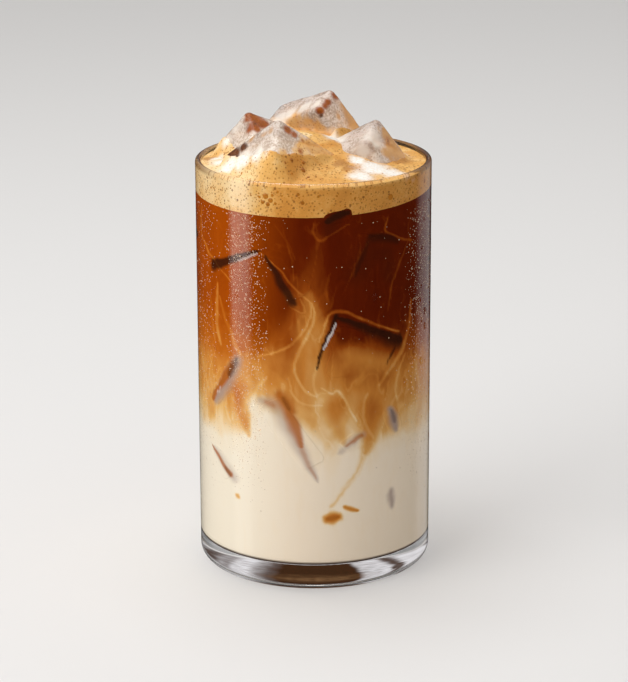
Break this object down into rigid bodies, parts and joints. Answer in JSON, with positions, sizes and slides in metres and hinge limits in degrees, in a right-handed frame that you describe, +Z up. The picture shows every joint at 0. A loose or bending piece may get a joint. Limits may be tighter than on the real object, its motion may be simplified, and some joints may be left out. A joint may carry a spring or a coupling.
{
  "type": "iced latte",
  "caption": "Straight-sided glass tumbler of iced latte: milk below, coffee above, a tan foam head, and ice cubes standing out of it",
  "frame": {"origin": "the middle of the ring that the glass stands on", "axes": "+Z up along the glass's axis, -Y towards the front, +X to the right as seen from the front"},
  "size_m": [0.076, 0.076, 0.1524],
  "materials": {
    "clear_glass": "clear and fire-polished",
    "milk": "opaque liquid",
    "coffee": "dark liquid with milk swirls",
    "foam": "fine foam with small bubbles",
    "ice": "frosted, partly coated with foam"
  },
  "bodies": {
    "root": {"glass": "clear_glass", "milk": "milk", "coffee": "coffee", "foam": "foam", "ice_back": "ice", "ice_left": "ice", "ice_front": "ice", "ice_right": "ice"}
  },
  "joints": []
}
